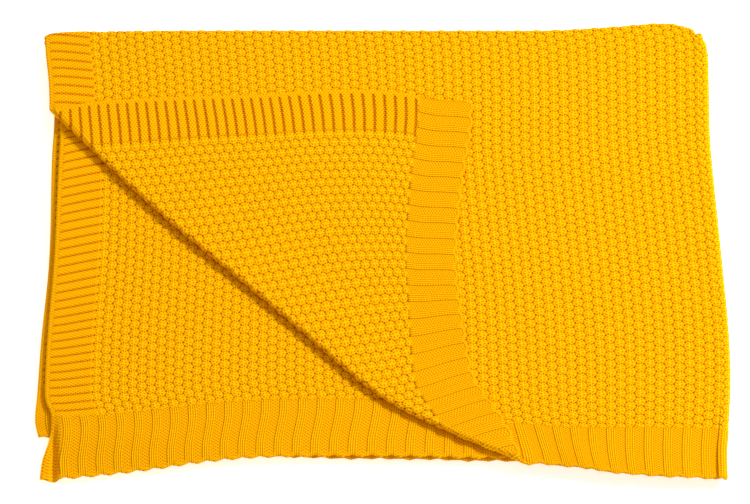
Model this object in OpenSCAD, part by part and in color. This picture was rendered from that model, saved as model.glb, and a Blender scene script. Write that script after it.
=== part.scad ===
/* [Throw laid out flat] */
// Length of the whole throw, across the last fold
throw_length = 1330; // [1000:10:1600]
// Width of the whole throw, across the first fold
throw_width = 990; // [800:10:1300]

/* [Knitted cloth] */
// Thickness of the relaxed knit, over the bobbles
cloth_t = 4.4; // [2.5:0.1:6]
// Air between two layers lying on each other
layer_gap = 0.4; // [0.3:0.1:1]
// Smooth selvedge along each side hem
selvedge_w = 5; // [3:0.5:10]
// Ridged band between the selvedge and the field
side_band_w = 43; // [25:1:70]
// Ribbed border at each end of the throw
end_rib_w = 56; // [30:1:90]
// Scalloped cast-off edge beyond the rib
cast_off_w = 3; // [2:0.5:6]

/* [How it is folded] */
// Lean of the last fold out of square, in degrees
fold_lean = 2.6; // [0:0.1:4]
// Share of the side hem above the turned-back corner
crease_start = 0.18; // [0.1:0.01:0.35]
// Share of the end hem between the last fold and the crease
crease_end = 0.33; // [0.2:0.01:0.45]
// Gap between two pieces that move apart
joint_gap = 0.3; // [0.2:0.05:0.6]

/* [Hidden] */
$fn = 64;

// Layer numbers, from the floor up, and the height between their undersides
BOTTOM = 0;
THIRD = 1;
SECOND = 2;
TOP = 3;
CORNER = 4;
layer_pitch = cloth_t + layer_gap;

// A fold of two neighbouring layers is a half tube round the gap between them
tight_inner_r = layer_gap / 2;
tight_outer_r = tight_inner_r + cloth_t;
// The last fold's outer tube goes round the inner one
wide_inner_r = tight_outer_r + layer_gap;
wide_outer_r = wide_inner_r + cloth_t;

// Heights of the fold lines
lower_first_z = tight_outer_r;
upper_first_z = 2 * layer_pitch + tight_outer_r;
last_z = wide_outer_r;
crease_z = CORNER * layer_pitch - tight_inner_r;

// Size of one quarter, less its share of the cloth in the folds
panel_w = throw_length / 2 - PI * (wide_inner_r + wide_outer_r) / 4;
panel_d = throw_width / 2 - PI * (tight_inner_r + tight_outer_r) / 4;

// Side hem of each layer: [share of the way from the first fold to the end hem, inward shift]
SIDE_HEMS = [
    [[0, -2], [0.17, 12], [1, 8]],
    [[0, -2], [0.17, 7], [0.85, -10], [1, -10]],
    [[0, -2], [0.17, 13], [0.85, -2], [1, -5]],
    [[0, -2], [0.17, 7], [1, 78]]
];
// End hem of each layer: [share of the way from the last fold to the side hem, inward shift]
END_HEMS = [
    [[0, 0], [0.3, 27], [1, 40]],
    [[0, 7], [0.28, 22], [0.62, 24], [1, 50]],
    [[0, 7], [0.28, 24], [0.68, 25], [1, 2]],
    [[0, 0], [0.1, 3], [0.2, 6], [0.28, 24], [0.88, 0]]
];
// Furthest that a hem stands out past its quarter
side_overhang = 10;

// The origin is midway across the folded throw, so the fold lines follow from its size
lean_run = tan(fold_lean);
crossing_overhang = tight_outer_r + layer_pitch * sin(fold_lean);
first_y = (panel_d - crossing_overhang) / 2;
end_y = first_y - panel_d;
last_run = wide_outer_r * cos(fold_lean) - lean_run * end_y;
last_x = (panel_w + side_overhang - last_run) / 2;
side_x = last_x - panel_w;
FAR = 2 * (throw_length + throw_width);

// Points along a layer's hems, measured from the quarter's edges
function side_points(layer, inset) =
    [for (h = SIDE_HEMS[layer]) [side_x + h[1] + inset, first_y - h[0] * panel_d]];
function end_points(layer, inset) =
    [for (h = END_HEMS[layer]) [last_x - h[0] * panel_w, end_y + h[1] + inset]];
function at_share(hems, share) = lookup(share, hems);
function reversed(list) = [for (i = [len(list) - 1:-1:0]) list[i]];

// Both ends of the crease, where it meets the top layer's hems
crease_from = [side_x + at_share(SIDE_HEMS[TOP], crease_start), first_y - crease_start * panel_d];
crease_to = [last_x - crease_end * panel_w, end_y + at_share(END_HEMS[TOP], crease_end)];
crease_run = crease_to - crease_from;
crease_length = norm(crease_run);
crease_angle = atan2(crease_run[1], crease_run[0]);

KNIT = "orange";
RIB = "darkorange";
BAND = "goldenrod";
EDGE = "gold";
FOLD = "sandybrown";

// Everything on the hem side of a line that runs inset from the side hem
module past_side_hem(layer, inset) {
    line = side_points(layer, inset);
    last = line[len(line) - 1];
    polygon(concat(
        [[line[0][0], FAR], [-FAR, FAR], [-FAR, -FAR], [last[0], -FAR]],
        reversed(line)
    ));
}

// Everything on the hem side of a line that runs inset from the end hem
module past_end_hem(layer, inset) {
    line = end_points(layer, inset);
    last = line[len(line) - 1];
    polygon(concat(
        [[FAR, line[0][1]]],
        line,
        [[-FAR, last[1]], [-FAR, -FAR], [FAR, -FAR]]
    ));
}

// Left of the last fold line and below the first fold line
module inside_folds(clearance) {
    top = first_y;
    polygon([
        [-FAR, top],
        [last_x - lean_run * top - clearance, top],
        [last_x + lean_run * FAR - clearance, -FAR],
        [-FAR, -FAR]
    ]);
}

// One layer's outline, before any corner is turned back
module quarter(layer) {
    difference() {
        inside_folds(layer >= SECOND ? joint_gap : 0);
        past_side_hem(layer, 0);
        past_end_hem(layer, 0);
    }
}

// The knit's five structures, as regions of one layer
module field_shape(layer) {
    difference() {
        quarter(layer);
        past_side_hem(layer, selvedge_w + side_band_w);
        past_end_hem(layer, cast_off_w + end_rib_w);
    }
}

module side_band_shape(layer) {
    difference() {
        intersection() {
            quarter(layer);
            past_side_hem(layer, selvedge_w + side_band_w);
        }
        past_side_hem(layer, selvedge_w);
        past_end_hem(layer, cast_off_w + end_rib_w);
    }
}

module selvedge_shape(layer) {
    difference() {
        intersection() {
            quarter(layer);
            past_side_hem(layer, selvedge_w);
        }
        past_end_hem(layer, cast_off_w + end_rib_w);
    }
}

module end_rib_shape(layer) {
    difference() {
        intersection() {
            quarter(layer);
            past_end_hem(layer, cast_off_w + end_rib_w);
        }
        past_end_hem(layer, cast_off_w);
    }
}

module cast_off_shape(layer) {
    intersection() {
        quarter(layer);
        past_end_hem(layer, cast_off_w);
    }
}

// Lays a flat shape down as one layer of cloth
module layer_slab(layer) {
    translate([0, 0, layer * layer_pitch])
        linear_extrude(cloth_t) children();
}

// The half of the plane on the turned-back side of the crease
module turned_side(clearance) {
    translate(crease_from)
        rotate(crease_angle)
            translate([-FAR, -FAR - clearance])
                square([2 * FAR, FAR]);
}

// The top layer loses its turned-back corner
module kept_slab() {
    layer_slab(TOP) difference() {
        children();
        turned_side(0);
    }
}

// The corner lies upside down on the top layer, mirrored over the crease
module turned_slab() {
    layer_slab(CORNER)
        translate(crease_from)
            rotate(crease_angle)
                mirror([0, 1])
                    rotate(-crease_angle)
                        translate(-crease_from)
                            intersection() {
                                children();
                                turned_side(joint_gap);
                            }
}

// A half tube of cloth along +X, bulging towards +Y
module half_tube(length, inner_r, outer_r) {
    rotate([90, 0, 90])
        linear_extrude(length)
            intersection() {
                difference() {
                    circle(outer_r);
                    circle(inner_r);
                }
                translate([0, -outer_r]) square([outer_r, 2 * outer_r]);
            }
}

// Cuts what stands past the last fold line
module before_last_fold(clearance) {
    intersection() {
        children();
        translate([0, 0, -FAR / 2])
            linear_extrude(FAR)
                polygon([
                    [-FAR, FAR],
                    [last_x - lean_run * FAR - clearance, FAR],
                    [last_x + lean_run * FAR - clearance, -FAR],
                    [-FAR, -FAR]
                ]);
    }
}

// The first fold joins two layers along the far edge
module first_fold(height, layer, clearance) {
    fold_from = side_points(layer, 0)[0][0];
    before_last_fold(clearance)
        translate([fold_from, first_y, height])
            half_tube(panel_w, tight_inner_r, tight_outer_r);
}

// Puts a piece on the last fold's line, with its length along the line
module on_last_fold() {
    translate([last_x, 0, last_z])
        rotate([0, 0, fold_lean])
            children();
}

// The last fold goes round the right edge, from the end hem to the first fold
module last_fold(inner_r, outer_r, hem_shift) {
    run_from = (end_y + hem_shift) / cos(fold_lean);
    run_to = first_y / cos(fold_lean);
    on_last_fold()
        translate([0, run_from, 0])
            rotate([0, 0, 90])
                mirror([0, 1, 0])
                    half_tube(run_to - run_from, inner_r, outer_r);
}

// Where the first fold itself goes round the last one
module crossed_fold() {
    color(FOLD)
        on_last_fold()
            translate([0, first_y / cos(fold_lean), 0])
                rotate([-90, -90, 0])
                    rotate_extrude(angle = 180)
                        translate([layer_pitch, 0])
                            intersection() {
                                difference() {
                                    circle(tight_outer_r);
                                    circle(tight_inner_r);
                                }
                                translate([-tight_outer_r, 0])
                                    square([2 * tight_outer_r, tight_outer_r]);
                            }
}

module bottom_field() { color(KNIT) layer_slab(BOTTOM) field_shape(BOTTOM); }
module bottom_end_rib() { color(RIB) layer_slab(BOTTOM) end_rib_shape(BOTTOM); }
module bottom_cast_off() { color(EDGE) layer_slab(BOTTOM) cast_off_shape(BOTTOM); }
module bottom_side_band() { color(BAND) layer_slab(BOTTOM) side_band_shape(BOTTOM); }
module bottom_selvedge() { color(EDGE) layer_slab(BOTTOM) selvedge_shape(BOTTOM); }

module third_field() { color(KNIT) layer_slab(THIRD) field_shape(THIRD); }
module third_end_rib() { color(RIB) layer_slab(THIRD) end_rib_shape(THIRD); }
module third_cast_off() { color(EDGE) layer_slab(THIRD) cast_off_shape(THIRD); }
module third_side_band() { color(BAND) layer_slab(THIRD) side_band_shape(THIRD); }
module third_selvedge() { color(EDGE) layer_slab(THIRD) selvedge_shape(THIRD); }

module second_field() { color(KNIT) layer_slab(SECOND) field_shape(SECOND); }
module second_end_rib() { color(RIB) layer_slab(SECOND) end_rib_shape(SECOND); }
module second_cast_off() { color(EDGE) layer_slab(SECOND) cast_off_shape(SECOND); }
module second_side_band() { color(BAND) layer_slab(SECOND) side_band_shape(SECOND); }
module second_selvedge() { color(EDGE) layer_slab(SECOND) selvedge_shape(SECOND); }

module top_field() { color(KNIT) kept_slab() field_shape(TOP); }
module top_end_rib() { color(RIB) kept_slab() end_rib_shape(TOP); }
module top_cast_off() { color(EDGE) kept_slab() cast_off_shape(TOP); }
module top_side_band() { color(BAND) kept_slab() side_band_shape(TOP); }
module top_selvedge() { color(EDGE) kept_slab() selvedge_shape(TOP); }

module corner_field() { color(KNIT) turned_slab() field_shape(TOP); }
module corner_end_rib() { color(RIB) turned_slab() end_rib_shape(TOP); }
module corner_cast_off() { color(EDGE) turned_slab() cast_off_shape(TOP); }
module corner_side_band() { color(BAND) turned_slab() side_band_shape(TOP); }
module corner_selvedge() { color(EDGE) turned_slab() selvedge_shape(TOP); }

module lower_first_fold() { color(FOLD) first_fold(lower_first_z, BOTTOM, 0); }
module upper_first_fold() { color(FOLD) first_fold(upper_first_z, TOP, joint_gap); }
module outer_last_fold() { color(FOLD) last_fold(wide_inner_r, wide_outer_r, END_HEMS[TOP][0][1]); }
module inner_last_fold() { color(FOLD) last_fold(tight_inner_r, tight_outer_r, END_HEMS[SECOND][0][1]); }

// The crease between the top layer and its turned-back corner
module corner_crease() {
    color(FOLD)
        translate([crease_from[0], crease_from[1], crease_z])
            rotate([0, 0, crease_angle])
                mirror([0, 1, 0])
                    half_tube(crease_length, tight_inner_r, tight_outer_r);
}

bottom_field();
bottom_end_rib();
bottom_cast_off();
bottom_side_band();
bottom_selvedge();
third_field();
third_end_rib();
third_cast_off();
third_side_band();
third_selvedge();
second_field();
second_end_rib();
second_cast_off();
second_side_band();
second_selvedge();
top_field();
top_end_rib();
top_cast_off();
top_side_band();
top_selvedge();
corner_field();
corner_end_rib();
corner_cast_off();
corner_side_band();
corner_selvedge();
lower_first_fold();
upper_first_fold();
outer_last_fold();
inner_last_fold();
crossed_fold();
corner_crease();
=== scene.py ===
import math

import bpy
import numpy as np
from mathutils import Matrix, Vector


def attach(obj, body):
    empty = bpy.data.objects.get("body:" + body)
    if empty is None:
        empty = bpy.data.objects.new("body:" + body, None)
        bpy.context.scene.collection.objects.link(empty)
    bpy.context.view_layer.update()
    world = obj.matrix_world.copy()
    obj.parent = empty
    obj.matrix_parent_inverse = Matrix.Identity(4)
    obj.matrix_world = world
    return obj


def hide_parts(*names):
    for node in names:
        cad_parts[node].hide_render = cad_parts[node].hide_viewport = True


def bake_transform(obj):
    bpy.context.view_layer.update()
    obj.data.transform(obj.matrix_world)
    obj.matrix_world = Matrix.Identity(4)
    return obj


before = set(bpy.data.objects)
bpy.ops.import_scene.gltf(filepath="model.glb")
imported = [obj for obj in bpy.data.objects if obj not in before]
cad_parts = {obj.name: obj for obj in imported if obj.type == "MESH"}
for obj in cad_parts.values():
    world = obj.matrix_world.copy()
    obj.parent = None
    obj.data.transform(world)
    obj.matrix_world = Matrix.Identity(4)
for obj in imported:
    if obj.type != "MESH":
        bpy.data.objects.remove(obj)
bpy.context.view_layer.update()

# ---------------------------------------------------------------- camera, in metres
ELEVATION = math.radians(63)
DISTANCE = 20.0  # far off: the photograph shows almost no perspective
SEEN_WIDTH = 0.739
SENSOR = 36
LOOK_AT = Vector((-0.009, 0.010, 0.0))

camera_data = bpy.data.cameras.new("camera")
camera = bpy.data.objects.new("camera", camera_data)
bpy.context.scene.collection.objects.link(camera)
bpy.context.scene.camera = camera
camera_back = Vector((0, -math.cos(ELEVATION), math.sin(ELEVATION)))
camera.location = LOOK_AT + camera_back * DISTANCE
camera.rotation_mode = "QUATERNION"
camera.rotation_quaternion = (-camera_back).to_track_quat("-Z", "Y")
camera_data.sensor_width = SENSOR
camera_data.lens = SENSOR * DISTANCE / SEEN_WIDTH
camera_data.clip_start = 1.0
camera_data.clip_end = 60

# ---------------------------------------------------------------- the cloth laid flat, in millimetres
# A runs from the last fold to the side hems, and B from the first fold to the end hems.
HALF_A = 665.0
HALF_B = 495.0
BAND_A = 617.0  # field up to here, then the ridged side band
SELVEDGE_A = 660.0
RIB_B = 436.0  # field up to here, then the ribbed end
CAST_B = 492.0
COLUMN = BAND_A / 66  # width of a column of bobbles
ROW = RIB_B / 48  # from one bobble to the next in its column
RIB = 2 * COLUMN  # from one raised rib to the next
WALE = COLUMN / 4  # width of a column of stitches in the ribs and edges
CORE = 1.0  # half of the cloth's thickness, less the relief

TIGHT_R = 2.4  # mid-cloth radius of a fold of two neighbouring layers
WIDE_R = 7.2  # of the last fold's outer roll
TURN = math.pi / 2 * TIGHT_R  # half of the cloth in a tight fold
WIDE_TURN = math.pi / 2 * WIDE_R
LAST_X, LAST_Z = 321.519, 9.4  # the axis of the last fold
CREASE_Z = 19.0  # height of the crease's axis
TOP, SECOND, THIRD, BOTTOM = "top", "second", "third", "bottom"


def smooth(x, low, high):
    """0 below low, 1 above high, with a soft step between."""
    t = np.clip((x - low) / (high - low), 0.0, 1.0)
    return t * t * (3 - 2 * t)


def through(points):
    """A smooth curve through points in the plane, as a function of its share of the length."""
    p = np.array(points, float)
    steps = np.hypot(*np.diff(p, axis=0).T)
    s = np.concatenate([[0], np.cumsum(steps)])
    s /= s[-1]
    slope = np.empty_like(p)
    slope[1:-1] = (p[2:] - p[:-2]) / (s[2:] - s[:-2])[:, None]
    slope[0] = (p[1] - p[0]) / (s[1] - s[0])
    slope[-1] = (p[-1] - p[-2]) / (s[-1] - s[-2])

    def at(t):
        i = np.clip(np.searchsorted(s, t, side="right") - 1, 0, len(s) - 2)
        h = (s[i + 1] - s[i])[:, None]
        x = np.asarray(t)[:, None] - s[i][:, None]
        q = x / h
        inside = (
            p[i] * (1 + 2 * q) * (1 - q) ** 2
            + slope[i] * h * q * (1 - q) ** 2
            + p[i + 1] * q * q * (3 - 2 * q)
            + slope[i + 1] * h * q * q * (q - 1)
        )
        before = p[0] + slope[0] * np.asarray(t)[:, None]
        after = p[-1] + slope[-1] * (np.asarray(t)[:, None] - 1)
        t_col = np.asarray(t)[:, None]
        return np.where(t_col < 0, before, np.where(t_col > 1, after, inside))

    return at


# Where each layer's edges lie, seen from above: the folds first, then the hems
FIRST_FOLD = through(
    [
        (307, 241.5), (300, 248), (277, 252.5), (230, 249), (170, 245), (60, 244.5), (-200, 244.5),
        (-300, 243), (-328, 241), (-335.5, 238),
    ]
)
LAST_FOLD = through(
    [
        (307, 241.5), (311.5, 228), (312.5, 195), (313.5, 128), (318.5, 62), (324.5, -10), (330, -81),
        (331.5, -134), (329.5, -182), (327, -215), (327.5, -245),
    ]
)
SIDE_HEM = {
    TOP: through(
        [
            (-335.5, 238), (-335, 222), (-332.5, 200), (-330, 172), (-329, 150), (-331, 118), (-330, 86),
            (-324, 12), (-318, -52), (-316, -100), (-311, -150), (-302, -192), (-292, -218), (-288, -238),
            (-284, -255),
        ]
    ),
    SECOND: through(
        [
            (-335.5, 238), (-326, 203), (-320, 160), (-322, 82), (-325, -4), (-331, -90), (-333, -150),
            (-331.5, -163), (-327, -174), (-326.5, -190), (-328.5, -201), (-332, -213), (-335.5, -225),
            (-337.5, -243),
        ]
    ),
    THIRD: through(
        [
            (-335.5, 238), (-331, 200), (-326, 163), (-328, 108), (-330, -4), (-337, -90), (-340.5, -150),
            (-342.5, -180), (-339, -196),
        ]
    ),
    BOTTOM: through([(-335.5, 238), (-322, 160), (-320, 0), (-322, -150), (-322, -196)]),
}
END_HEM = {
    TOP: through(
        [
            (327.5, -246), (290, -246), (257, -245), (190, -246), (166, -247), (123, -243), (70, -240),
            (41, -231), (16, -222), (-10, -219), (-68, -216), (-114, -218), (-165, -227), (-215, -239),
            (-258, -251), (-284, -255),
        ]
    ),
    SECOND: through(
        [
            (327.5, -240), (200, -229), (137, -223), (86, -222.5), (35, -221), (-43, -220.5),
            (-123, -221.5), (-179, -226.5), (-220, -232.5), (-271, -239), (-318, -243.5), (-337.5, -243),
        ]
    ),
    THIRD: through(
        [
            (327.5, -241), (200, -231), (137, -224), (86, -223), (35, -221.5), (-43, -220.5), (-83, -219),
            (-150, -215), (-230, -206), (-300, -198), (-339, -196),
        ]
    ),
    BOTTOM: through([(327.5, -240), (137, -220), (-83, -208), (-322, -196)]),
}

# The crease of the turned-back corner, from the side hem to the end hem
CREASE_FROM = np.array([-324.316, 154.785])
CREASE_TO = np.array([105.801, -226.024])
CREASE_LENGTH = float(np.hypot(*(CREASE_TO - CREASE_FROM)))
CREASE_ALONG = (CREASE_TO - CREASE_FROM) / CREASE_LENGTH
CREASE_ACROSS = np.array([-CREASE_ALONG[1], CREASE_ALONG[0]])
CATCH_UP = 25.0
BOW_FADE = 55.0  # the bow dies away over this distance from the crease
BOW_STEP = 5.0
BOW_SOFTNESS, BOW_REACH = 3.0, 8  # in steps
# How far the soft crease strays from its straight line: (place along it, shift)
BOW = np.array(
    [
        (-60, 2), (0, 2), (60, -4), (110, -9), (180, -13), (260, -14), (340, -16), (420, -20), (460, -18),
        (500, -9), (540, 1), (570, 11), (600, 21), (640, 23),
    ],
    float,
)


def bow(along):
    """The crease's shift at a place along it, with its corners softened."""
    low, high = BOW[0, 0], BOW[-1, 0]
    at = np.linspace(low, high, round((high - low) / BOW_STEP) + 1)
    shift = np.interp(at, BOW[:, 0], BOW[:, 1])
    kernel = np.exp(-0.5 * (np.arange(-BOW_REACH, BOW_REACH + 1) / BOW_SOFTNESS) ** 2)
    padded = np.concatenate([np.full(BOW_REACH, shift[0]), shift, np.full(BOW_REACH, shift[-1])])
    return np.interp(along, at, np.convolve(padded, kernel / kernel.sum(), "valid"))


def spread(u):
    """A share of the cloth's length as a share of its outline's: the knit is wider near the last fold."""
    return 1.06 * u - 0.06 * u * u


def plan(layer, u, v):
    """Where a point of one layer lies, seen from above, with no corner turned back.

    u is its share of the way from the last fold to the side hem, v from the first fold to the end hem.
    """
    if layer == SECOND:  # pulled lengthways, and its ribs lean towards the last fold
        v = np.interp(v, (0, 0.3, 0.88, 1, 2), (0, 0.245, 0.864, 1, 2))
        in_rib = np.clip((v - 0.864) / 0.136, 0, 1)
        u = u - 0.0165 * in_rib * smooth(u, 0.5, 0.97) * (1 - smooth(u, 0.985, 1))
    if layer == TOP:  # its ribs fan out round the tip of the turned-back corner
        v = np.interp(v, (0, 0.88, 1, 2), (0, 0.892, 1, 2))
        in_rib = np.clip((v - 0.86) / 0.14, 0, 1)
        u = u + 0.022 * in_rib * smooth(u, 0.3, 0.4) * (1 - smooth(u, 0.45, 0.7))
    start, stop = np.zeros(1), np.ones(1)
    top, end = FIRST_FOLD(spread(u)), END_HEM[layer](spread(u))
    right, side = LAST_FOLD(v), SIDE_HEM[layer](v)
    # near the end hem the last fold moves to where that hem starts
    right = right + (v**3)[:, None] * (END_HEM[layer](start) - LAST_FOLD(stop))
    u, v = u[:, None], v[:, None]
    corners = (
        (1 - u) * (1 - v) * FIRST_FOLD(start)
        + u * (1 - v) * FIRST_FOLD(stop)
        + (1 - u) * v * END_HEM[layer](start)
        + u * v * END_HEM[layer](stop)
    )
    return (1 - v) * top + v * end + (1 - u) * right + u * side - corners


def waves(layer, x, y):
    """The layer's slow rises and dips: each a height over the part of the plan that it covers."""
    z = 0.35 * np.sin(x / 61 + 1.3) * np.sin(y / 47 + 0.4)
    if layer == SECOND:  # its near left corner sinks, all but the tip
        z = z - 3.5 * smooth(-y, 196, 238) * smooth(-x, 120, 290)
        z = z - 6.3 * smooth(-y, 172, 205) * smooth(-x, 317, 324)
        z = z + 3.5 * smooth(-y, 180, 215) * smooth(-x, 324, 331)
    if layer == THIRD:  # its near left corner sinks under the second layer's
        z = z - 3.5 * smooth(-y, 170, 200) * smooth(-x, 250, 330)
    if layer == TOP:  # one soft rise in the end hem, and the near right corner sinks
        z = z + 1.6 * smooth(-y, 205, 240) * np.exp(-(((x - 190) / 22.0) ** 2))
        z = z - 3.0 * smooth(x, 285, 330) * smooth(-y, 150, 240)
    return z


def crease_distance(a, b):
    """How far a point of the top layer lies from the crease, on the flat, and its place along it."""
    u = (np.abs(a) - wide_turn(b)) / (HALF_A - wide_turn(b))
    v = (np.abs(b) - TURN) / (HALF_B - TURN)
    off = plan(TOP, u, v) - CREASE_FROM
    return off @ CREASE_ACROSS, off @ CREASE_ALONG


def last_radius(b):
    """Radius of the last fold's roll: tight for the inner layers, wide for the outer ones."""
    lift = np.sin(np.clip(b / TURN, -1, 1) * math.pi / 2)
    return 2 * TIGHT_R + TIGHT_R * lift


def wide_turn(b):
    """Half of the cloth that goes round the last fold."""
    return math.pi / 2 * last_radius(b)


def hem_edge(a, b):
    """The scalloped end hem stands a little further out at each raised rib."""
    turns = 2 * math.pi * (a / RIB - 0.24)
    out = (1.1 * np.cos(turns) + 0.35 * np.cos(3 * turns)) * smooth(np.abs(b), 478, HALF_B)
    return b + np.sign(b) * out


def towards(curve, t):
    """The direction of a curve at a share of its length."""
    eps = 1e-3
    t = np.clip(t, 0, 1 - eps)
    run = curve(t + eps) - curve(t)
    return run / np.hypot(*run.T)[:, None]


def place(a, b):
    """The middle of the cloth at flat place (a, b), for the folded throw. a > 0 is the upper half."""
    b = hem_edge(a, b)
    turn = wide_turn(b)
    u = (np.abs(a) - turn) / (HALF_A - turn)
    v = (np.abs(b) - TURN) / (HALF_B - TURN)
    layers = [
        (TOP, (a >= 0) & (b >= 0)),
        (SECOND, (a >= 0) & (b < 0)),
        (BOTTOM, (a < 0) & (b >= 0)),
        (THIRD, (a < 0) & (b < 0)),
    ]
    out = np.zeros((len(a), 3))
    bulge = np.cos(np.clip(b / TURN, -1, 1) * math.pi / 2) * TIGHT_R
    for layer, here in layers:
        if not here.any():
            continue
        u_here, v_here = np.maximum(u[here], 0), np.maximum(v[here], 0)
        flat = plan(layer, u_here, v_here)
        far = towards(FIRST_FOLD, spread(u_here)) @ np.array([[0, -1], [1, 0]])
        right = towards(LAST_FOLD, v_here) @ np.array([[0, 1], [-1, 0]])
        # round the last fold: theta is 0 on the upper side of the roll and pi on the lower one
        theta = np.clip((1 - a[here] / turn[here]) / 2, 0, 1) * math.pi
        reach = last_radius(b[here])
        out[here, :2] = flat + far * bulge[here, None] + right * (reach * np.sin(theta))[:, None]
        wave = waves(layer, flat[:, 0], flat[:, 1]) * smooth(u_here, 0, 0.06) * smooth(v_here, 0, 0.06)
        out[here, 2] = LAST_Z + reach * np.cos(theta) + wave
    return out


def turned(a, b):
    """place() for the top layer, with its corner turned back over the crease."""
    b = hem_edge(a, b)
    d, along = crease_distance(a, b)
    flat = CREASE_FROM + along[:, None] * CREASE_ALONG + d[:, None] * CREASE_ACROSS
    kept, flap = d >= TURN, d <= -TURN
    angle = np.clip(d / TURN, -1, 1) * math.pi / 2
    # the cloth used up in the turn is made good over the next CATCH_UP millimetres
    near = np.exp(-np.maximum(np.abs(d) - TURN, 0) / CATCH_UP)
    p = np.where(kept, d - TURN * near, np.where(flap, -d - TURN * near, -TIGHT_R * np.cos(angle)))
    p = p + bow(along) * np.exp(-((np.maximum(p, 0) / BOW_FADE) ** 2))
    z = CREASE_Z - TIGHT_R * np.sin(angle)
    out = np.zeros((len(a), 3))
    out[:, :2] = CREASE_FROM + along[:, None] * CREASE_ALONG + p[:, None] * CREASE_ACROSS
    rise = waves(TOP, flat[:, 0], flat[:, 1])
    over = 0.6 * np.sin(out[:, 0] / 47 + 0.7) * np.sin(out[:, 1] / 39 + 1.9)
    out[:, 2] = z + np.where(kept, rise * smooth(d, TURN, 40), 0)
    out[:, 2] += np.where(flap, over * smooth(-d, TURN, 60), 0)
    return out


# ---------------------------------------------------------------- the knit's relief
SKEW, SKEW_FROM = 17.0, 160.0  # at the side hem, and how far from it the skew starts
HEM_ROUND = 2.4  # the hems thin out over this width
BOBBLE_HEIGHT = 0.9
RIB_MIDDLE = 0.25  # of the raised part, as a share of RIB
# painted shade in the gaps, carried into the yarn colour
EDGE_GAP_SHADE, CORNER_GAP_SHADE = 0.22, 0.8  # how dark the gaps are between two bobbles, and between three


def skew(a, b):
    """How far the courses stray from the first fold's direction, near the side hems."""
    near_hem = np.clip((np.abs(a) - HALF_A + SKEW_FROM) / SKEW_FROM, 0, 1) ** 1.5
    return SKEW * near_hem * (1 - smooth(np.abs(b), 300, 480))


def bobbles(a, b):
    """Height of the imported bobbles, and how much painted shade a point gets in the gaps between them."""
    near = []  # squared distances to the bobbles round about, each bobble a little shifted and resized
    first_column = np.floor(a / COLUMN)
    for i in (-1, 0, 1):
        column = first_column + i
        shift = np.mod(column, 2) / 2
        first_row = np.floor(b / ROW - shift)
        for j in (-1, 0, 1):
            row = first_row + j
            chance = np.sin(column * 12.9 + row * 78.2)
            dx = a - (column + 0.5) * COLUMN - 0.35 * chance
            dy = b - (row + 0.5 + shift) * ROW - 0.45 * np.sin(chance * 93.7 + column)
            near.append(dx * dx + dy * dy - 3.0 * np.sin(chance * 57.3 + row))
    near = np.sort(np.stack(near), axis=0)
    edge = (near[1] - near[0]) / (2 * COLUMN)
    corner = (near[2] - near[0]) / (2 * COLUMN)
    t = np.clip(edge / 4.0, 0, 1)
    height = BOBBLE_HEIGHT * (1 - (1 - t) ** 2) - 0.5 * np.exp(-((corner / 1.3) ** 2))
    # painted shade where two bobbles meet, and darker where three meet
    gap_shade = EDGE_GAP_SHADE * np.exp(-((edge / 1.1) ** 2)) + CORNER_GAP_SHADE * np.exp(-((corner / 1.2) ** 2))
    return height, gap_shade


def ribs(a):
    """Groups of raised stitches and sunken ones, running to the end hem."""
    q = np.mod(a / RIB, 1.0)
    away = np.abs(q - RIB_MIDDLE)
    raised = 1 - smooth(away, 0.205, 0.275)
    wale = np.abs(np.sin(math.pi * q * RIB / WALE)) ** 0.7
    height = 0.25 + 0.55 * raised + (0.15 + 0.2 * raised) * wale
    groove = np.exp(-(((away - 0.262) / 0.02) ** 2))
    # painted shade on the sunken stitches and in the grooves beside the raised ones
    gap_shade = 0.08 * (1 - raised) + 0.15 * groove
    return height, gap_shade


def ridges(b, deep):
    """Broad ridges across the side band, with a thin valley at each bobble row."""
    q = np.mod(b / ROW, 1.0)
    from_valley = np.minimum(q, 1 - q) * ROW
    half_width = np.where(deep, 1.9, 1.5)
    valley = np.clip(1 - from_valley / half_width, 0, 1)
    height = 0.9 + 0.2 * np.sin(math.pi * q) - np.where(deep, 1.2, 0.7) * valley
    # painted shade in each thin valley
    gap_shade = np.where(deep, 1.0, 0.85) * valley**1.3
    return height, gap_shade


def edging(along):
    """The smooth strip along a hem, with a slight chain of stitches."""
    chain = 0.12 * np.cos(math.pi * along / WALE)
    # with a faint even painted shade
    return 0.75 + chain, np.full_like(chain, 0.05)


def relief(a, b, face):
    """Half thickness of the cloth on one face (+1 or -1), and the painted shade of its gaps for the colour."""
    big_a, big_b = np.abs(a), np.abs(b)
    # the side bands of the turned-back corner and of the third layer are pulled wide, with deep valleys and
    # more painted shade in them
    deep = ((a > 0) & (b > 0) & (face < 0)) | ((a < 0) & (b < 0))
    across = a if face > 0 else a + COLUMN
    along = b + skew(a, b)
    height, gap_shade = bobbles(across, along)
    for (next_height, next_gap), place_on, border, soft in (
        (ridges(along, deep), big_a, BAND_A, 0.8),
        (edging(b), big_a, SELVEDGE_A, 0.8),
        (ribs(across), big_b, RIB_B, 1.2),
        (edging(a), big_b, CAST_B, 1.0),
    ):
        share = smooth(place_on, border - soft, border + soft)
        height = height + (next_height - height) * share
        gap_shade = gap_shade + (next_gap - gap_shade) * share
    from_hem = np.minimum(HALF_A - big_a, HALF_B - big_b)
    t = np.clip(from_hem / HEM_ROUND, 0, 1)
    rounding = 0.35 + 0.65 * np.sqrt(1 - (1 - t) ** 2)
    return (CORE + height) * rounding, np.clip(gap_shade, 0, 1.3)


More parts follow.
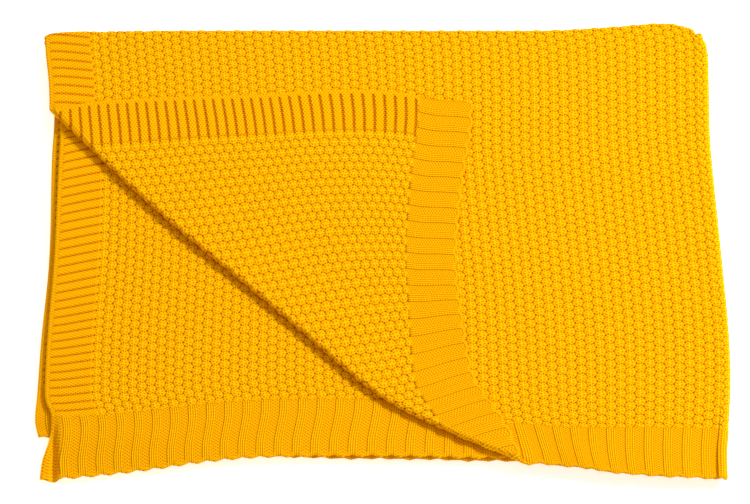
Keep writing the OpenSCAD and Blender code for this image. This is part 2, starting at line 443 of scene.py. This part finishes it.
def stitches(a, b, face):
    """For the fine stitches: counts of wales and courses, and which pattern they make.

    The pattern is 0 for a bobble's lobes, 1 for plain lines and 2 for staggered dots.
    """
    across = a if face > 0 else a + COLUMN
    # drawn in by a thousandth, so that a point on a piece's border takes that piece's pattern
    big_a = np.abs(a + (a.mean() - a) * 1e-3)
    big_b = np.abs(b + (b.mean() - b) * 1e-3)
    in_field = (big_a < BAND_A) & (big_b < RIB_B)
    q = np.mod(across / RIB, 1.0)
    raised = 1 - smooth(np.abs(q - RIB_MIDDLE), 0.22, 0.28)
    pattern = np.where(big_b > RIB_B, 2 - raised, np.where(in_field, 0.0, 2.0))
    wales = np.where(in_field, across / (COLUMN / 3), across / WALE)
    return np.stack([wales, (b + skew(a, b)) / (ROW / 3), pattern], 1)


def surface(where, a, b, face):
    """Points of one face of the cloth, lifted off its middle by the relief."""
    eps = 0.4
    middle = where(a, b)
    low_a, high_a = where(a - eps, b), where(a + eps, b)
    low_b, high_b = where(a, b - eps), where(a, b + eps)
    # a runs towards -X and b towards -Y on the top layer, so this normal points up there
    normal = np.cross(high_a - low_a, high_b - low_b)
    normal /= np.linalg.norm(normal, axis=1)[:, None] + 1e-12
    height, gap_shade = relief(a, b, face)
    if where is turned and face > 0:  # pressed flat inside the crease
        d = np.abs(crease_distance(a, b)[0])
        pressed = np.minimum(height, CORE)
        height = pressed + (height - pressed) * smooth(d, TURN - 0.5, TURN + 3.5)
    return middle + normal * (face * height)[:, None], gap_shade


def shading(where, a, b, face):
    """Normals of that face, from points close by."""
    eps = 0.35
    high_a, low_a = surface(where, a + eps, b, face)[0], surface(where, a - eps, b, face)[0]
    high_b, low_b = surface(where, a, b + eps, face)[0], surface(where, a, b - eps, face)[0]
    normal = np.cross(high_a - low_a, high_b - low_b) * face
    return normal / (np.linalg.norm(normal, axis=1)[:, None] + 1e-12)


# ---------------------------------------------------------------- meshes
def steps(low, high, size):
    """Values from low to high, on multiples of size with the ends kept."""
    first = math.ceil(low / size + 0.3)
    last = math.floor(high / size - 0.3)
    inside = np.arange(first, last + 1) * size
    return np.concatenate([[low], inside, [high]])


def flat_sheet(av, bv, fine, coarse):
    """A closed sheet over a grid, on the flat: (a, b, face) for each vertex, and the mesh's faces.

    fine is the face (+1 or -1) that has every grid line. The other one has every coarse-th.
    """
    na, nb = len(av), len(bv)

    def layout(a_lines, b_lines, face):
        grid = np.meshgrid(a_lines, b_lines, indexing="ij")
        return np.stack([grid[0].ravel(), grid[1].ravel(), np.full(grid[0].size, face)], 1)

    ids = np.arange(na * nb).reshape(na, nb)
    quads = np.stack([ids[:-1, :-1], ids[1:, :-1], ids[1:, 1:], ids[:-1, 1:]], -1).reshape(-1, 4)
    ci = np.unique(np.concatenate([np.arange(0, na, coarse), [na - 1]]))
    cj = np.unique(np.concatenate([np.arange(0, nb, coarse), [nb - 1]]))
    points = [layout(av, bv, fine), layout(av[ci], bv[cj], -fine)]
    rough = na * nb + np.arange(len(ci) * len(cj)).reshape(len(ci), len(cj))
    back = np.stack([rough[:-1, :-1], rough[:-1, 1:], rough[1:, 1:], rough[1:, :-1]], -1).reshape(-1, 4)
    walls = []
    for j, edge, flip in ((0, rough[:, 0], False), (nb - 1, rough[:, -1], True)):
        for k in range(len(ci) - 1):
            wall = [edge[k], edge[k + 1], *ids[ci[k] : ci[k + 1] + 1, j][::-1]]
            walls.append(wall[::-1] if flip else wall)
    for i, edge, flip in ((0, rough[0, :], True), (na - 1, rough[-1, :], False)):
        for k in range(len(cj) - 1):
            wall = [edge[k], edge[k + 1], *ids[i, cj[k] : cj[k + 1] + 1][::-1]]
            walls.append(wall[::-1] if flip else wall)
    faces = [tuple(q) for q in quads.tolist()] + [tuple(q) for q in back.tolist()]
    faces += [tuple(int(x) for x in w) for w in walls]
    if fine < 0:
        faces = [f[::-1] for f in faces]
    return np.concatenate(points), faces


def cut(points, faces, height, along):
    """Keeps the part of a sheet where height > 0, and closes it along the cut."""
    inside = (height > 0).tolist()
    height, places, points = height.tolist(), along.tolist(), points.tolist()
    crossings, kept = {}, []

    def crossing(i, j):
        key = (i, j) if i < j else (j, i)
        if key not in crossings:
            t = height[i] / (height[i] - height[j])
            crossings[key] = len(points)
            points.append([x + (y - x) * t for x, y in zip(points[i], points[j])])
            places.append(places[i] + (places[j] - places[i]) * t)
        return crossings[key]

    for face in faces:
        flags = [inside[i] for i in face]
        if all(flags):
            kept.append(face)
        elif any(flags):
            ring = []
            for n, i in enumerate(face):
                j = face[(n + 1) % len(face)]
                if inside[i]:
                    ring.append(i)
                if inside[i] != inside[j]:
                    ring.append(crossing(i, j))
            kept.append(tuple(ring))
    # the cut's rim on one face of the cloth is closed against its rim on the other, in order along the cut
    points = np.array(points)
    one, two = (
        sorted((i for i in crossings.values() if points[i][2] * face > 0.999), key=lambda i: places[i])
        for face in (1, -1)
    )
    cap = []
    i = j = 0
    while i < len(one) - 1 or j < len(two) - 1:
        if j == len(two) - 1 or (i < len(one) - 1 and places[one[i + 1]] <= places[two[j + 1]]):
            cap.append((one[i], one[i + 1], two[j]))
            i += 1
        else:
            cap.append((one[i], two[j + 1], two[j]))
            j += 1
    used = {(f[n], f[(n + 1) % len(f)]) for f in kept for n in range(len(f))}
    flip = any((c[n], c[(n + 1) % 3]) in used for c in cap for n in range(3))
    kept += [c[::-1] if flip else c for c in cap]
    # forget unused points
    live = np.zeros(len(points), bool)
    live[np.fromiter((i for f in kept for i in f), int)] = True
    index = np.cumsum(live) - 1
    return points[live], [tuple(int(index[i]) for i in f) for f in kept]


def build(name, points, faces, where):
    """A mesh object for one sheet, from its flat points."""
    a, b, face = points.T
    co = np.empty((len(a), 3))
    normals = np.empty((len(a), 3))
    gap_shade = np.empty(len(a))
    fine = np.empty((len(a), 3))
    front = face > 0
    for side, here in ((1, front), (-1, ~front)):
        if here.any():
            co[here], gap_shade[here] = surface(where, a[here], b[here], side)
            normals[here] = shading(where, a[here], b[here], side)
            fine[here] = stitches(a[here], b[here], side)
    mesh = bpy.data.meshes.new(name)
    counts = np.fromiter((len(f) for f in faces), np.int32)
    loops = np.fromiter((i for f in faces for i in f), np.int32)
    mesh.vertices.add(len(co))
    mesh.vertices.foreach_set("co", (co / 1000).astype(np.float32).ravel())
    mesh.loops.add(len(loops))
    mesh.loops.foreach_set("vertex_index", loops)
    mesh.polygons.add(len(counts))
    mesh.polygons.foreach_set("loop_start", np.concatenate([[0], np.cumsum(counts)[:-1]]).astype(np.int32))
    mesh.polygons.foreach_set("loop_total", counts)
    mesh.polygons.foreach_set("use_smooth", np.ones(len(counts), bool))
    mesh.update(calc_edges=True)
    # the face up takes the left half of the texture space and the face down the right half
    uv = mesh.uv_layers.new(name="OFBake")
    du = (a - a.min()) / max(np.ptp(a), 1e-6)
    dv = (b - b.min()) / max(np.ptp(b), 1e-6)
    flat = np.stack([du * 0.48 + np.where(front, 0.0, 0.52), dv], 1)
    uv.data.foreach_set("uv", flat[loops].astype(np.float32).ravel())
    # the flat place, and the painted shade of the gaps for the material
    cloth = mesh.attributes.new("cloth", "FLOAT_VECTOR", "POINT")
    cloth.data.foreach_set("vector", np.stack([a, b, gap_shade], 1).astype(np.float32).ravel())
    stitch = mesh.attributes.new("stitch", "FLOAT_VECTOR", "POINT")
    stitch.data.foreach_set("vector", fine.astype(np.float32).ravel())
    mesh.normals_split_custom_set_from_vertices(normals.astype(np.float32))
    obj = bpy.data.objects.new(name, mesh)
    bpy.context.scene.collection.objects.link(obj)
    return obj


# ---------------------------------------------------------------- material
# the yarn's own colour, then the painted shade for the gaps and stitch hollows, halfway and at the deepest
YARN = (0.98, 0.53, 0.0, 1)
SHADE = (0.84, 0.30, 0.0, 1)
DEEPEST_SHADE = (0.42, 0.11, 0.0, 1)


def knit_material(name, strength):
    """Matt cotton yarn, with painted shade: darker and more orange in the gaps and in the hollows between the
    fine stitches, the stitches' painted shade as strong as asked.
    """
    material = bpy.data.materials.new(name)
    material.use_nodes = True
    tree = material.node_tree
    nodes, links = tree.nodes, tree.links
    shader = nodes["Principled BSDF"]
    shader.inputs["Roughness"].default_value = 0.88
    shader.inputs["Specular IOR Level"].default_value = 0.03

    def attribute(name):
        node = nodes.new("ShaderNodeAttribute")
        node.attribute_name = name
        split = nodes.new("ShaderNodeSeparateXYZ")
        links.new(node.outputs["Vector"], split.inputs[0])
        return split.outputs

    def calc(kind, *values, clamp=False):
        node = nodes.new("ShaderNodeMath")
        node.operation = kind
        node.use_clamp = clamp
        for socket, value in zip(node.inputs, values):
            if isinstance(value, (int, float)):
                socket.default_value = value
            else:
                links.new(value, socket)
        return node.outputs[0]

    def cosine(value, turns):
        return calc("COSINE", calc("MULTIPLY", value, 2 * math.pi * turns))

    def wave(value):
        """0 to 1 and back, 1 at whole values."""
        return calc("MULTIPLY_ADD", cosine(value, 1), 0.5, 0.5)

    # the painted shade of the gaps, from the mesh
    gap_shade = attribute("cloth")[2]
    wales, courses, pattern = attribute("stitch")
    # lobes: the stitches of a bobble, spread as it swells, and staggered in every other column
    odd = calc("MODULO", calc("FLOOR", calc("DIVIDE", wales, 3.0)), 2.0)
    swell = calc("MULTIPLY", cosine(wales, 1 / 6), cosine(courses, 1 / 3))
    lobe_wales = calc("MULTIPLY_ADD", swell, -0.4, wales)
    staggered = calc("MULTIPLY_ADD", cosine(lobe_wales, 1 / 2), 0.22, courses)
    lobes = calc("MULTIPLY", wave(lobe_wales), wave(calc("MULTIPLY_ADD", odd, 1.5, staggered)))
    lines = calc("MULTIPLY", wave(wales), calc("MULTIPLY_ADD", wave(courses), 0.35, 0.65))
    swing = calc("MULTIPLY", cosine(wales, 1 / 2), cosine(courses, 1))
    dots = calc("POWER", calc("MULTIPLY_ADD", swing, 0.5, 0.5), 1.5)
    # how much each pattern counts here
    as_lines = calc("SUBTRACT", 1.0, calc("ABSOLUTE", calc("SUBTRACT", pattern, 1.0)), clamp=True)
    as_dots = calc("SUBTRACT", pattern, 1.0, clamp=True)
    as_lobes = calc("SUBTRACT", 1.0, pattern, clamp=True)
    # painted shade in the hollows between the fine stitches, which also give the height of the bump
    stitch_hollows_and_shade = calc("MULTIPLY", lobes, as_lobes)
    stitch_hollows_and_shade = calc("MULTIPLY_ADD", lines, as_lines, stitch_hollows_and_shade)
    stitch_hollows_and_shade = calc("MULTIPLY_ADD", dots, as_dots, stitch_hollows_and_shade)
    # the painted shade in the gaps is broken up by the stitches that cross them
    not_lobes = calc("SUBTRACT", 1.0, as_lobes)
    beads = calc("MULTIPLY_ADD", calc("SUBTRACT", wave(wales), lobes), not_lobes, lobes)
    beaded_gap_shade = calc("MULTIPLY", gap_shade, calc("MULTIPLY_ADD", beads, 0.9, 0.55))
    # how much painted shade the yarn colour gets here
    painted_shade = calc("MULTIPLY_ADD", stitch_hollows_and_shade, strength, beaded_gap_shade, clamp=True)
    ramp = nodes.new("ShaderNodeValToRGB")
    links.new(painted_shade, ramp.inputs["Fac"])
    stops = ramp.color_ramp.elements
    stops[0].position, stops[0].color = 0.0, YARN
    stops[1].position, stops[1].color = 1.0, DEEPEST_SHADE
    stops.new(0.5).color = SHADE
    links.new(ramp.outputs["Color"], shader.inputs["Base Color"])
    bump = nodes.new("ShaderNodeBump")
    bump.inputs["Strength"].default_value = 0.7
    bump.inputs["Distance"].default_value = 0.0007
    links.new(calc("SUBTRACT", 1.0, stitch_hollows_and_shade), bump.inputs["Height"])
    links.new(bump.outputs["Normal"], shader.inputs["Normal"])
    return material


# how strong the painted shade of the stitch hollows is in each material
STITCH_SHADE_STRENGTH = {"bobble_knit": 0.7, "rib_knit": 0.62, "ridge_knit": 0.6, "edge_knit": 0.5}
MATERIALS = {name: knit_material(name, strength) for name, strength in STITCH_SHADE_STRENGTH.items()}

# ---------------------------------------------------------------- the pieces
QUARTERS = {TOP: (1, 1), SECOND: (1, -1), THIRD: (-1, -1), BOTTOM: (-1, 1)}  # signs of A and B
BODY = {TOP: "upper_half", SECOND: "upper_half", THIRD: "lower_half", BOTTOM: "lower_half"}
STEP_A, STEP_B = COLUMN / 6, ROW / 6
made = {}  # each piece by name


def finish_piece(obj, slot, node, body):
    """Gives a piece its material, hides the CAD part that it stands for, and parents it to the body it rides
    on, if one is given.
    """
    obj.data.materials.append(MATERIALS[slot])
    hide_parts(node)
    if body:
        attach(obj, body)
    made[obj.name] = obj


def add_piece(layer, region, points, faces, where, body):
    """One region of one layer, or of the turned-back corner or the crease."""
    name = f"knit_{layer}_{region}"
    node = "corner_crease" if layer == "crease" else f"{layer}_{region}"
    obj = build(name, points, faces, where)
    finish_piece(obj, REGIONS[region][-1], node, body)
    return obj


REGIONS = {
    # name: (A from, A to, B from, B to, step along A, step along B, material); None is the last fold's end
    "field": (None, BAND_A, TURN, RIB_B, STEP_A, STEP_B, "bobble_knit"),
    "side_band": (BAND_A, SELVEDGE_A, TURN, RIB_B, COLUMN / 4, ROW / 8, "ridge_knit"),
    "selvedge": (SELVEDGE_A, HALF_A, TURN, RIB_B, COLUMN / 8, ROW / 4, "edge_knit"),
    "end_rib": (None, HALF_A, RIB_B, CAST_B, COLUMN / 16, ROW / 3, "rib_knit"),
    "cast_off": (None, HALF_A, CAST_B, HALF_B, COLUMN / 8, 0.6, "edge_knit"),
}
# how much coarser a layer's grid is than REGIONS says, and its hidden face than its seen one
COARSE = {TOP: (1, 6), SECOND: (1, 2), THIRD: (2, 3), BOTTOM: (3, 2)}


def region_grid(layer, region):
    """Grid lines along A and B for a region of a layer."""
    sign_a, sign_b = QUARTERS[layer]
    a0, a1, b0, b1, step_a, step_b, _ = REGIONS[region]
    if a0 is None:  # where the last fold's roll ends
        a0 = WIDE_TURN if sign_b > 0 else TURN
    scale = COARSE[layer][0] * 1
    av = steps(a0, a1, step_a * scale) * sign_a
    bv = steps(b0, b1, step_b * scale) * sign_b
    return np.sort(av), np.sort(bv)


def cut_at_crease(sheet, beyond, side):
    """The part of a flat sheet of the top layer on one side (+1 or -1) of a line beside the crease."""
    points, faces = sheet
    d, along = crease_distance(points[:, 0], points[:, 1])
    return cut(points, faces, side * d + beyond, along)


for layer in (BOTTOM, THIRD, SECOND):
    seen = 1.0 if layer == THIRD else -1.0
    for region in REGIONS:
        points, faces = flat_sheet(*region_grid(layer, region), seen, COARSE[layer][1])
        add_piece(layer, region, points, faces, place, BODY[layer])

for region in REGIONS:
    grid = region_grid(TOP, region)
    # the part that stays flat, fine on its seen face
    kept_sheet = cut_at_crease(flat_sheet(*grid, 1.0, COARSE[TOP][1]), -TURN, 1)
    add_piece("top", region, *kept_sheet, turned, "upper_half")
    # the turned-back part, fine on both faces of its field
    corner_sheet = cut_at_crease(flat_sheet(*grid, -1.0, 1 if region == "field" else 2), -TURN, -1)
    add_piece("corner", region, *corner_sheet, turned, "turned_corner")

# the crease itself: one strip through every structure that it crosses
crease_parts = []
for region in REGIONS:
    strip = cut_at_crease(flat_sheet(*region_grid(TOP, region), -1.0, 1), TURN, -1)
    strip = cut_at_crease(strip, TURN, 1)
    if strip[1]:
        crease_parts.append(add_piece("crease", region, *strip, turned, None))

# the rolls at the two folds
TIGHT_LINES, WIDE_LINES = 9, 22  # grid lines round a roll
roll_a = np.concatenate([steps(WIDE_TURN, BAND_A, STEP_A), steps(BAND_A, HALF_A, STEP_A)[1:]])
for node, sign, body in (
    ("upper_first_fold", 1, "upper_half"),
    ("lower_first_fold", -1, "lower_half"),
):
    points, faces = flat_sheet(np.sort(roll_a * sign), np.linspace(-TURN, TURN, TIGHT_LINES), 1.0, 2)
    finish_piece(build("knit_" + node, points, faces, place), "bobble_knit", node, body)

roll_b = np.concatenate([steps(TURN, RIB_B, STEP_B), steps(RIB_B, HALF_B, STEP_B)[1:]])
for node, sign, turn, lines in (
    ("outer_last_fold", 1, WIDE_TURN, WIDE_LINES),
    ("inner_last_fold", -1, TURN, TIGHT_LINES),
):
    points, faces = flat_sheet(np.linspace(-turn, turn, lines), np.sort(roll_b * sign), 1.0, 2)
    finish_piece(build("knit_" + node, points, faces, place), "bobble_knit", node, None)

# where the first fold goes round the last one: the cloth there widens from the inner layers to the outer ones
points, faces = flat_sheet(np.linspace(-1, 1, WIDE_LINES), np.linspace(-TURN, TURN, TIGHT_LINES), 1.0, 1)
points[:, 0] *= wide_turn(points[:, 1])
finish_piece(build("knit_crossed_fold", points, faces, place), "bobble_knit", "crossed_fold", None)

# ---------------------------------------------------------------- the sheets
RESTS_ON = {
    "bottom": "floor",
    "third": "knit_bottom_field",
    "second": "knit_third_field",
    "top": "knit_second_field",
    "corner": "knit_top_field",
}
for layer, below in RESTS_ON.items():
    name = f"knit_{layer}_field"

# ---------------------------------------------------------------- floor and light
floor_data = bpy.data.meshes.new("floor")
FLOOR = 6
floor_corners = [(-FLOOR, -FLOOR, 0), (FLOOR, -FLOOR, 0), (FLOOR, FLOOR, 0), (-FLOOR, FLOOR, 0)]
floor_data.from_pydata(floor_corners, [], [(0, 1, 2, 3)])
floor = bpy.data.objects.new("floor", floor_data)
bpy.context.scene.collection.objects.link(floor)
floor_material = bpy.data.materials.new("floor")
floor_material.use_nodes = True
floor_shader = floor_material.node_tree.nodes["Principled BSDF"]
floor_shader.inputs["Base Color"].default_value = (0.93, 0.93, 0.93, 1)
floor_shader.inputs["Roughness"].default_value = 0.9
floor_shader.inputs["Specular IOR Level"].default_value = 0.0
# a slight glow of its own, so that it is as white as the photograph's ground
floor_shader.inputs["Emission Color"].default_value = (1.0, 1.0, 1.0, 1)
floor_shader.inputs["Emission Strength"].default_value = 0.62
floor_data.materials.append(floor_material)

world = bpy.data.worlds.new("studio")
bpy.context.scene.world = world
world.use_nodes = True
sky = world.node_tree.nodes["Background"]
sky.inputs["Color"].default_value = (1.0, 0.9, 0.78, 1)
sky.inputs["Strength"].default_value = 0.52


def area_light(name, position, size, power, colour):
    """A square light that faces the origin."""
    data = bpy.data.lights.new(name, "AREA")
    data.shape = "SQUARE"
    data.size = size
    data.energy = power
    data.color = colour
    light = bpy.data.objects.new(name, data)
    bpy.context.scene.collection.objects.link(light)
    light.location = position
    light.rotation_mode = "QUATERNION"
    light.rotation_quaternion = (-Vector(position)).to_track_quat("-Z", "Y")


area_light("key", (2.6, 0.9, 2.8), 0.9, 142, (1.0, 1.0, 1.0))
area_light("fill", (0.1, 1.8, 1.6), 1.2, 8, (1.0, 0.95, 0.88))

scene = bpy.context.scene
scene.view_settings.view_transform = "Standard"
scene.view_settings.look = "None"
scene.view_settings.exposure = 0.0
scene.view_settings.gamma = 1.0

# ---------------------------------------------------------------- the parts across the joints, with their transforms baked in
# a bend height on both sides of the hinge for each, in millimetres
WIDE_BEND, TIGHT_BEND, CREASE_BEND = 7.5, 3.0, 1.0
last_fold_parts = {
    "knit_outer_last_fold": WIDE_BEND,
    "knit_inner_last_fold": TIGHT_BEND,
    "knit_crossed_fold": WIDE_BEND,
}
for name, reach in last_fold_parts.items():
    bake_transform(made[name])
for obj in crease_parts:
    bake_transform(obj)
